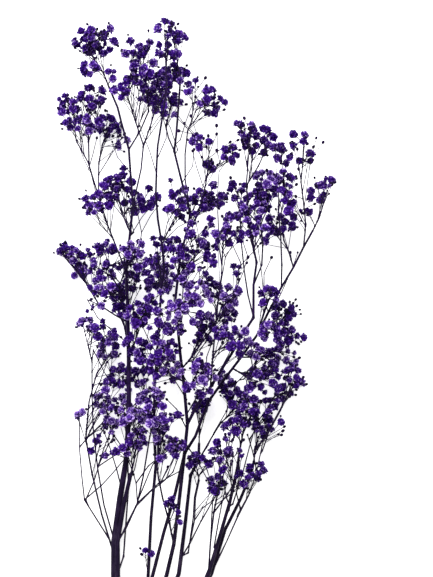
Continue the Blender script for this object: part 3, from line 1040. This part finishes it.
def facing(way):
    """The turn that takes the upright to a way."""
    return UP.rotation_difference(way).to_matrix().to_4x4()


def egg(target, centre, way, size, u_count=BUD_ROUND, v_count=BUD_RINGS):
    """Adds a ball that is stretched along a way."""
    part = bmesh.new()
    bmesh.ops.create_uvsphere(part, u_segments=u_count, v_segments=v_count, radius=1.0)
    bmesh.ops.scale(part, verts=part.verts[:], vec=size)
    place = Matrix.Translation(centre) @ facing(way)
    bmesh.ops.transform(part, matrix=place, verts=part.verts[:])
    merge(target, part)


def knotted(route, radii):
    """A route with a swollen joint at each clear bend, and the radii that go with it."""
    joint = settings_of("stems").joint
    places, sizes = [route[0]], [radii[0]]
    for before, here, after, size in zip(route, route[1:], route[2:], radii[1:]):
        if (here - before).angle(after - here) > KNOT_BEND:
            back, ahead = (out.normalized() * min(KNOT_REACH * size, KNOT_ROOM * out.length)
                           for out in (before - here, after - here))
            places += [here + back, here, here + ahead]
            sizes += [size, size * joint, size]
        else:
            places.append(here)
            sizes.append(size)
    return places + [route[-1]], sizes + [radii[-1]]


def thickness_at(place, limbs):
    """Radius of a cut stem at the stretch that is nearest to a place, with that stretch's way."""
    start, end, radius = min(stretches(limbs), key=lambda stretch: gap_to_stretch(place, *stretch))
    return radius, (end - start).normalized()


def between(pair, place):
    """The value at a place along the bunch, between the one low down and the one high up."""
    low, high = LOW_AND_HIGH
    share = min(max((place.y - low) / (high - low), 0.0), 1.0)
    return pair[0] + (pair[1] - pair[0]) * share


def side_root(drawn, hosts):
    """The place that a side twig grows from, with no sharp turn, and what carries it there."""
    first, second = (Vector(place) for place in drawn[:2])
    ahead = (second - first).normalized()
    best = None
    for name, limb in hosts:
        for start, end in zip(limb, limb[1:]):
            way = (end - start).to_2d().normalized()
            for share in SIDE_SHARES:
                place = start.lerp(end, share)
                root = first - place.to_2d()
                length = max(root.length, SAMPLE)
                bend = 1 - root.dot(ahead) / length
                cost = length * (1 + SIDE_BEND * bend)
                fits = root.length < SAMPLE or root.dot(way) > SIDE_ALONG * root.length
                if fits and (best is None or cost < best[0]):
                    best = cost, name, place
    return best[1:]


def side_routes():
    """The bare side twigs in space, by the stem or spray that carries each of them."""
    if not SIDES:
        draw = random.Random("side twigs")
        hosts = [(stem.name, limb) for stem in STEMS for limb, radii in stem_limbs(stem)]
        hosts += [(spray.name, points(limb.route)) for spray in SPRAYS for limb in spray.limbs]
        for drawn in sorted(SIDE_TWIGS, key=lambda drawn: drawn[0][1]):
            name, root = side_root(drawn, hosts)
            rise = draw.uniform(*SIDE_RISE) / len(drawn)
            route = [Vector((x, y, root.z + rise * step)) for step, (x, y) in enumerate(drawn)]
            if (route[0] - root).length > SAMPLE:
                route.insert(0, root)
            hosts.append((name, route))
            SIDES.setdefault(name, []).append(route)
    return SIDES


def add_side_twigs(mesh, name):
    """Adds the bare side twigs of a stem or spray, each of which ends in a small bud."""
    draw = random.Random(name + " side buds")
    for route in side_routes().get(name, ()):
        foot = between(SIDE_FEET, route[0])
        tube(mesh, *knotted(route, tapered(route, foot, SIDE_TIP * foot)), TWIG_ROUND)
        bud(mesh, route[-1], end_way(route), draw.uniform(*SMALL_BUD))


def fork_egg(target, place, way, size, sides, rings):
    """The long swelling where something grows from a stem or twig."""
    egg(target, place, way, (size, size, size * FORK_KNOT_LONG), sides, rings)


def stem_shape(stem):
    """A cut stem with swollen joints at its bends and where a spray grows from it."""
    mesh = bmesh.new()
    limbs = stem_limbs(stem)
    settings = settings_of("stems")
    gains = FOOT_GAINS.get(stem.name, settings.foot_gain), settings.crown_gain
    for route, radii in limbs:
        shown = [radius * between(gains, place) for place, radius in zip(route, radii)]
        tube(mesh, *knotted(route, shown), STEM_ROUND)
    add_side_twigs(mesh, stem.name)
    for spray in SPRAYS:
        if spray.stem == stem.name:
            place = Vector(spray.limbs[0].route[0])
            radius, way = thickness_at(place, limbs)
            fork_egg(mesh, place, way, radius * settings.joint, STEM_ROUND, STEM_KNOT_RINGS)
    return mesh


def bud(target, centre, way, radius):
    """A bud, a little longer than wide."""
    egg(target, centre, way, (radius, radius, radius * settings_of("twigs").bud_long))


def cup(target, tip, way):
    """The cup of sepals that a bloom sits in."""
    radius = tip.radius
    shares = (CALYX_FOOT, (CALYX_FOOT + CALYX_RIM) / 2, CALYX_RIM)
    route = [tip.centre + way * radius * share for share in shares]
    rim = CALYX_WIDTH * radius
    tube(target, route, (settings_of("twigs").fine / MM, CALYX_WAIST * rim, rim), TWIG_ROUND)


def small_buds(target, twig, way, draw):
    """Hair-thin stalks, each with a small bud, on either side under a bloom."""
    settings = settings_of("twigs")
    back = NECK * twig.tip.radius + draw.uniform(*STALK_BACK)
    turn = Matrix.Rotation(draw.uniform(0, math.pi), 3, way)
    side = turn @ way.cross(UP).normalized()
    if back > (twig.route[-1] - twig.route[-2]).length:
        return
    start = twig.tip.centre - way * back
    for sign in (1, -1):
        angle = math.radians(draw.uniform(*STALK_ANGLE))
        length = draw.uniform(*STALK_LENGTH)
        radius = draw.uniform(*SMALL_BUD)
        if draw.random() < settings.stalk_chance:
            out = way * math.cos(angle) + side * sign * math.sin(angle)
            end = start + out * length
            end.z = max(end.z, radius)
            tube(target, [start, end], [settings.stalk / MM] * 2, STALK_ROUND)
            bud(target, end, out, radius)


def twig_radii(spray, grown):
    """The route and the radii of each twig, from its root to the neck of its tip."""
    shapes = []
    fine = settings_of("twigs").fine / MM
    for twig, count in zip(grown.twigs, carried(grown)):
        route = neck_route(twig)
        if not twig.parent:
            route[0] = Vector(spray.limbs[0].route[0])
        if len(route) > 2:
            foot = min(fine + LIMB_GAIN * math.sqrt(count - 1), between(LIMB_CAPS, route[0]))
            radii = tapered(route, foot, LIMB_TAPER * foot)[:-1] + [fine]
        else:
            radii = [min(fine + FINE_GAIN * math.sqrt(count - 1), LIMB_CAPS[1]), fine]
        shapes.append((route, radii))
    return shapes


def fork_knot(target, twig, radius, shapes):
    """The swollen joint that a twig forks off."""
    number, stretch = twig.parent
    route, radii = shapes[number]
    start, end = route[stretch:stretch + 2]
    fork_egg(target, twig.route[0], (end - start).normalized(),
             max(radius, radii[stretch]) * FORK_KNOT, TWIG_ROUND, TWIG_KNOT_RINGS)


def free_place(tuft, radius, grown, draw):
    """A place in a tuft where a further bloom or bud fits among the others, or none."""
    spread = MORE_SPREAD * max(tuft.spread, LEAST_SPREAD)
    for attempt in range(MORE_TRIES):
        centre = place_in(tuft, spread * (1 + attempt / MORE_TRIES), radius, draw)
        if grown.room.gap((), centre, radius) > -OVERLAP:
            return centre
    return None


def join_loosely(tip, grown, draw):
    """Joins a further tip by a twig about as long as one that is drawn at random."""
    places = fork_places(tip, grown, MORE_ANGLES)
    wanted = draw.uniform(*MORE_REACH)
    if places:
        reach, number, stretch, along, fork = min(places, key=lambda place: abs(place[0] - wanted))
        grown.forks.setdefault((number, stretch), []).append(along)
        grown.add_twig([fork, tip.centre], tip, (number, stretch))


def in_loose_part(tuft):
    """Whether a tuft is in a part of the bunch that is looser than the rest."""
    return any(math.hypot(tuft.x - x, tuft.y - y) < reach for x, y, reach in LOOSE_PLACES)


def add_tips(tuft, blooms, buds, grown, draw):
    """Adds further blooms and buds to a tuft, as far as there is room for them."""
    for kind in ["bloom"] * blooms + ["bud"] * buds:
        radius = draw.triangular(*(MORE_RADII if kind == "bloom" else BUD_RADII))
        centre = free_place(tuft, radius, grown, draw)
        if centre:
            join_loosely(grown.add_tip(kind, centre, radius), grown, draw)


def fill_out(spray, grown):
    """Adds the further blooms and buds that stand among those of the solids."""
    draw = random.Random(spray.name + " more")
    for limb in spray.limbs:
        for tuft in limb.tufts:
            share = MORE_BLOOMS * (LOOSE_SHARE if in_loose_part(tuft) else 1.0)
            add_tips(tuft, round(share * tuft.blooms), round(MORE_BUDS * tuft.buds), grown, draw)


def add_further_tufts():
    """Adds the tufts that stand between those of the solids, each to the spray next to it."""
    draw = random.Random("further tufts")
    near = [(spray.name, tuft) for spray in SPRAYS for limb in spray.limbs for tuft in limb.tufts]
    for x, y, spread, blooms, buds in FURTHER_TUFTS:
        name, other = min(near, key=lambda found: math.hypot(found[1].x - x, found[1].y - y))
        tuft = Tuft(x, y, other.z + MORE_HEIGHT, spread, blooms, buds)
        add_tips(tuft, blooms, buds, GROWN[name], draw)


def twig_shape(spray, grown):
    """The twigs of a spray with their joints and buds."""
    mesh = bmesh.new()
    shapes = twig_radii(spray, grown)
    draw = random.Random(spray.name + " small buds")
    for twig, (route, radii) in zip(grown.twigs, shapes):
        way = end_way(twig.route)
        tube(mesh, *knotted(route, radii), TWIG_ROUND)
        if twig.parent:
            fork_knot(mesh, twig, radii[0], shapes)
        if twig.tip.kind == "bloom":
            small_buds(mesh, twig, way, draw)
        else:
            bud(mesh, twig.tip.centre, way, twig.tip.radius)
    add_side_twigs(mesh, spray.name)
    return mesh


def marked_mesh():
    """An empty mesh whose points can hold their place on the petal and the tone of their bloom."""
    mesh = bmesh.new()
    mesh.verts.layers.float.new("rim")
    mesh.verts.layers.float.new("tone")
    return mesh


def petal_shape(settings, draw):
    """A ruffled petal with thin edges, one unit long, that stands on its claw and curls out."""
    mesh = marked_mesh()
    rim = mesh.verts.layers.float["rim"]
    bmesh.ops.create_grid(mesh, x_segments=PETAL_COLUMNS, y_segments=PETAL_ROWS, size=1.0)
    for vert in mesh.verts:
        across, along = vert.co.x, (vert.co.y + 1) / 2
        row = round(along * PETAL_ROWS)
        drawn_in = CORNER if abs(across) > 0.5 else settings.notch
        wave = settings.ruffle * draw.uniform(-1, 1) * along
        dish = settings.curl * along ** 2 - settings.dish * across ** 2 * along
        vert[rim] = along * (1 - SIDE_SHADE * abs(across))
        vert.co = (across * PETAL_WIDTHS[row], dish + wave,
                   along - (drawn_in if row == PETAL_ROWS else 0.0))
    back = bmesh.ops.duplicate(mesh, geom=mesh.faces[:])["geom"]
    inner = [vert for vert in back if isinstance(vert, bmesh.types.BMVert) and not vert.is_boundary]
    bmesh.ops.translate(mesh, verts=inner, vec=(0, settings.thickness, 0))
    bmesh.ops.remove_doubles(mesh, verts=mesh.verts[:], dist=WELD)
    bmesh.ops.recalc_face_normals(mesh, faces=mesh.faces[:])
    return finished("petal", mesh)


def tone_of(centre, draw):
    """How pale a bloom is, from 0 to 1, with the pale tufts of the bunch among them."""
    near = min(math.hypot(centre.x - x, centre.y - y) for x, y in PALE_TUFTS)
    pale = PALE_GAIN * math.exp(-(near / PALE_REACH) ** 2)
    return min(draw.betavariate(*TONE_SPREAD) + pale, 1.0)


def bloom(target, petals, tip, way, draw):
    """A double bloom: whorls of ruffled petals round a dense heart."""
    radius = settings_of("petals").bloom_size * tip.radius
    value = tone_of(tip.centre, draw)
    mesh = marked_mesh()
    egg(mesh, UP * HEART_LIFT * radius, UP, [share * radius for share in HEART_SIZE])
    rim, tone = (mesh.verts.layers.float[name] for name in ("rim", "tone"))
    for vert in mesh.verts:
        vert[rim] = HEART_LIGHT
        vert[tone] = value
    for count, lean, length, start in WHORLS:
        first = draw.uniform(0, 2 * math.pi)
        for number in range(count):
            turn = first + 2 * math.pi * number / count + draw.uniform(-PETAL_TURN, PETAL_TURN)
            nod = math.radians(lean) + draw.uniform(-PETAL_NOD, PETAL_NOD)
            size = radius * length * draw.uniform(*PETAL_SIZES)
            petal = draw.choice(petals).copy()
            shade = min(max(value + draw.uniform(-PETAL_SHADE, PETAL_SHADE), 0.0), 1.0)
            petal.attributes["tone"].data.foreach_set("value", [shade] * len(petal.vertices))
            petal.transform(
                Matrix.Translation((0, 0, start * radius)) @ Matrix.Rotation(turn, 4, "Z")
                @ Matrix.Rotation(-nod, 4, "X") @ Matrix.Scale(size, 4))
            mesh.from_mesh(petal)
            bpy.data.meshes.remove(petal)
    tilt = Matrix.Rotation(draw.uniform(-TILT, TILT), 4, "X")
    place = Matrix.Translation(tip.centre) @ facing(way) @ tilt
    bmesh.ops.transform(mesh, matrix=place, verts=mesh.verts[:])
    cup(mesh, tip, way)
    merge(target, mesh)


def bloom_shapes(spray, grown, petals):
    """All the petals of a spray."""
    mesh = marked_mesh()
    draw = random.Random(spray.name + " blooms")
    for twig in grown.twigs:
        if twig.tip.kind == "bloom":
            bloom(mesh, petals, twig.tip, end_way(twig.route), draw)
    return mesh


def all_grown():
    """Every spray as it grew, worked out once for the operators that share it."""
    if not GROWN:
        room = stem_room()
        for spray in SPRAYS:
            GROWN[spray.name] = grow(spray, room)
        for spray in SPRAYS:
            fill_out(spray, GROWN[spray.name])
        add_further_tufts()
    return GROWN


def placed(name, mesh, material, node):
    """Turns a mesh in plan millimetres into a piece that stands for a solid of the frame."""
    lay_down(mesh)
    bmesh.ops.translate(mesh, verts=mesh.verts[:], vec=-PLAN_MIDDLE)
    bmesh.ops.scale(mesh, verts=mesh.verts[:], vec=(MM, MM, MM))
    for face in mesh.faces:
        face.smooth = True
    data = finished(name, mesh)
    data.set_sharp_from_angle(angle=SHARP)
    data.materials.append(material)
    piece = linked(name, data)
    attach(piece, BODY)
    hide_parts(node)


def area_light(name, place, aim, size, power):
    """A round soft light that is aimed at a place."""
    data = bpy.data.lights.new(name, "AREA")
    data.shape = "DISK"
    data.size = size
    data.energy = power
    light = linked(name, data)
    light.location = place
    light.rotation_euler = (Vector(aim) - Vector(place)).to_track_quat("-Z", "Y").to_euler()


def number(name, description, default, least=0.0, most=1.0, **kind):
    """A size or share that the user may change."""
    return bpy.props.FloatProperty(
        name=name, description=description, default=default, min=least, max=most, **kind)


def colour(name, description, default):
    """A colour that the user may change."""
    return bpy.props.FloatVectorProperty(
        name=name, description=description, subtype="COLOR", default=default, min=0.0, max=1.0)


class StemSettings(bpy.types.PropertyGroup):
    """Thickness of the stems, and the colours of stems, twigs and buds."""

    foot_gain: number(
        "Foot Thickness", "Thickness of the bark low down, against the solid's, on the stems "
        "that swell least", 1.4, 0.5, 4.0)
    crown_gain: number(
        "Crown Thickness", "Thickness of the bark high up, against the solid's", 1.15, 0.5, 4.0)
    joint: number("Joint Size", "Radius of a swollen joint, against the stem's", 1.28, 1.0, 3.0)
    dark: colour("Dark", "Colour where the dye took most", (0.004, 0.0015, 0.011))
    middle: colour("Middle", "Usual colour of the bark", (0.0105, 0.0045, 0.0235))
    worn: colour("Worn", "Colour of the paler streaks", (0.036, 0.024, 0.052))
    tint: bpy.props.FloatVectorProperty(
        name="Tint", description="Red, green and blue high up, against those low down",
        default=(0.95, 0.4, 1.4), min=0.0, max=4.0)
    roughness: number("Roughness", "Dullness of the bark", 0.6, subtype="FACTOR")


class TwigSettings(bpy.types.PropertyGroup):
    """Sizes of the twigs and buds."""

    fine: number("Finest Twig", "Radius of the finest twigs", 0.00027, 0.00005, 0.002,
                 unit="LENGTH", precision=5)
    stalk: number("Bud Stalk", "Radius of a small bud's stalk", 0.00018, 0.00005, 0.002,
                  unit="LENGTH", precision=5)
    stalk_chance: number(
        "Stalk Chance", "Chance of a small bud on either side under a bloom", 0.42,
        subtype="FACTOR")
    bud_long: number("Bud Length", "Length of a bud, against its width", 1.2, 0.5, 3.0)


class PetalSettings(bpy.types.PropertyGroup):
    """Sizes of the blooms, shape of the petals in petal lengths, and their colours."""

    bloom_size: number("Bloom Size", "Radius of a bloom, against the solid's", 0.97, 0.3, 2.0)
    thickness: number("Thickness", "Thickness at the middle of a petal", 0.1, 0.01, 0.5)
    notch: number("Notch", "How far the middle of its tip is drawn in", 0.05, 0.0, 0.4)
    curl: number("Curl", "How far its tip curls out", 0.14)
    dish: number("Dish", "How far its sides rise", 0.22)
    ruffle: number("Ruffle", "How much its edge waves", 0.1, 0.0, 0.5)
    deep: colour("Deep", "Colour in the heart of a bloom", (0.021, 0.0015, 0.13))
    middle: colour("Middle", "Usual colour of a petal", (0.06, 0.012, 0.245))
    bright: colour("Bright", "Colour towards the rim of a petal", (0.165, 0.065, 0.43))
    lavender: colour("Lavender", "Palest colour at the rim", (0.6, 0.43, 0.86))
    roughness: number("Roughness", "Dullness of the petals", 0.7, subtype="FACTOR")


class StageSettings(bpy.types.PropertyGroup):
    """Floor, light and camera."""

    floor: colour("Floor", "Colour of the floor", (0.8, 0.8, 0.8))
    floor_size: number("Floor Size", "Side of the square floor", 12.0, 1.0, 50.0, unit="LENGTH")
    floor_glow: number("Floor Glow", "Light that the floor gives off", 0.75, 0.0, 10.0)
    sky: number("Sky", "Strength of the even light all round", 0.5, 0.0, 10.0)
    key: number("Key Light", "Power of the large soft light", 42.0, 0.0, 1000.0, unit="POWER")
    lens: number("Lens", "Focal length, on a frame that is 36 mm high", 250.0, 10.0, 1000.0,
                 unit="CAMERA")
    view_height: number("View Height", "Height of the view at the middle of the bunch", 0.4616,
                        0.01, 10.0, unit="LENGTH")


def settings_of(group):
    """The scene's settings of one group."""
    return getattr(bpy.context.scene, "gypsophila_" + group)


class BuildStems(bpy.types.Operator):
    """Builds the eight cut stems"""

    bl_idname = "gypsophila.stems"
    bl_label = "Cut Stems"

    def execute(self, context):
        material = stem_dye(settings_of("stems"))
        for stem in STEMS:
            placed(stem.name + "_bark", stem_shape(stem), material, stem.name)
        return {"FINISHED"}


class BuildTwigs(bpy.types.Operator):
    """Builds the twigs and buds of every spray"""

    bl_idname = "gypsophila.twigs"
    bl_label = "Twigs and Buds"

    def execute(self, context):
        material = bpy.data.materials.get("stem_dye") or stem_dye(settings_of("stems"))
        for spray in SPRAYS:
            shape = twig_shape(spray, all_grown()[spray.name])
            placed(spray.name + "_twigs", shape, material, spray.name)
        return {"FINISHED"}


class BuildPetals(bpy.types.Operator):
    """Builds the blooms of every spray"""

    bl_idname = "gypsophila.petals"
    bl_label = "Blooms"

    def execute(self, context):
        settings = settings_of("petals")
        material = petal_dye(settings)
        draw = random.Random("petal shapes")
        petals = [petal_shape(settings, draw) for number in range(PETAL_SHAPES)]
        for spray in SPRAYS:
            shape = bloom_shapes(spray, all_grown()[spray.name], petals)
            placed(spray.name + "_petals", shape, material, spray.name)
        for petal in petals:
            bpy.data.meshes.remove(petal)
        return {"FINISHED"}


class BuildStage(bpy.types.Operator):
    """Builds the pale floor, the soft light and the camera that looks straight down"""

    bl_idname = "gypsophila.stage"
    bl_label = "Stage"

    def execute(self, context):
        stage = settings_of("stage")
        self.build_floor(stage)
        self.build_light(context, stage)
        self.build_camera(context, stage)
        context.scene.view_settings.view_transform = "Standard"
        return {"FINISHED"}

    def build_floor(self, stage):
        mesh = bmesh.new()
        bmesh.ops.create_grid(mesh, x_segments=1, y_segments=1, size=stage.floor_size / 2)
        data = finished("floor", mesh)
        data.materials.append(floor_paint(stage))
        floor = linked("floor", data)
        floor.location.z = -FLOOR_DROP

    def build_light(self, context, stage):
        world = bpy.data.worlds.new("soft_sky")
        world.use_nodes = True
        back = world.node_tree.nodes["Background"]
        back.inputs["Color"].default_value = WHITE
        back.inputs["Strength"].default_value = stage.sky
        context.scene.world = world
        area_light("key", KEY_PLACE, VIEW_MIDDLE, KEY_SIZE, stage.key)

    def build_camera(self, context, stage):
        data = bpy.data.cameras.new("camera")
        data.sensor_fit = "VERTICAL"
        data.sensor_height = SENSOR
        data.lens = stage.lens
        data.clip_end = VIEW_DEPTH
        camera = linked("camera", data)
        away = stage.lens / SENSOR * stage.view_height
        camera.location = Vector(VIEW_MIDDLE) + Vector((0, 0, away))
        context.scene.camera = camera


class GypsophilaPanel(bpy.types.Panel):
    """Settings and build steps of the bunch"""

    bl_label = "Preserved Gypsophila"
    bl_idname = "VIEW3D_PT_gypsophila"
    bl_space_type = "VIEW_3D"
    bl_region_type = "UI"
    bl_category = "Gypsophila"

    def draw(self, context):
        for operator, group in STEPS:
            box = self.layout.box()
            box.operator(operator.bl_idname)
            settings = settings_of(group)
            for name in type(settings).__annotations__:
                box.prop(settings, name)


STEPS = (
    (BuildStage, "stage"), (BuildStems, "stems"), (BuildTwigs, "twigs"), (BuildPetals, "petals"))
GROUPS = {
    "stems": StemSettings, "twigs": TwigSettings, "petals": PetalSettings, "stage": StageSettings}


def register():
    """Adds the settings, operators and panel."""
    for name, group in GROUPS.items():
        bpy.utils.register_class(group)
        setattr(bpy.types.Scene, "gypsophila_" + name, bpy.props.PointerProperty(type=group))
    for operator, group in STEPS:
        bpy.utils.register_class(operator)
    bpy.utils.register_class(GypsophilaPanel)


def unregister():
    """Takes them away again."""
    bpy.utils.unregister_class(GypsophilaPanel)
    for operator, group in reversed(STEPS):
        bpy.utils.unregister_class(operator)
    for name, group in GROUPS.items():
        delattr(bpy.types.Scene, "gypsophila_" + name)
        bpy.utils.unregister_class(group)


def main():
    """Builds the whole scene."""
    register()
    bpy.ops.gypsophila.stage()
    bpy.ops.gypsophila.stems()
    bpy.ops.gypsophila.twigs()
    bpy.ops.gypsophila.petals()
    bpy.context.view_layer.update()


if __name__ == "__main__":
    main()
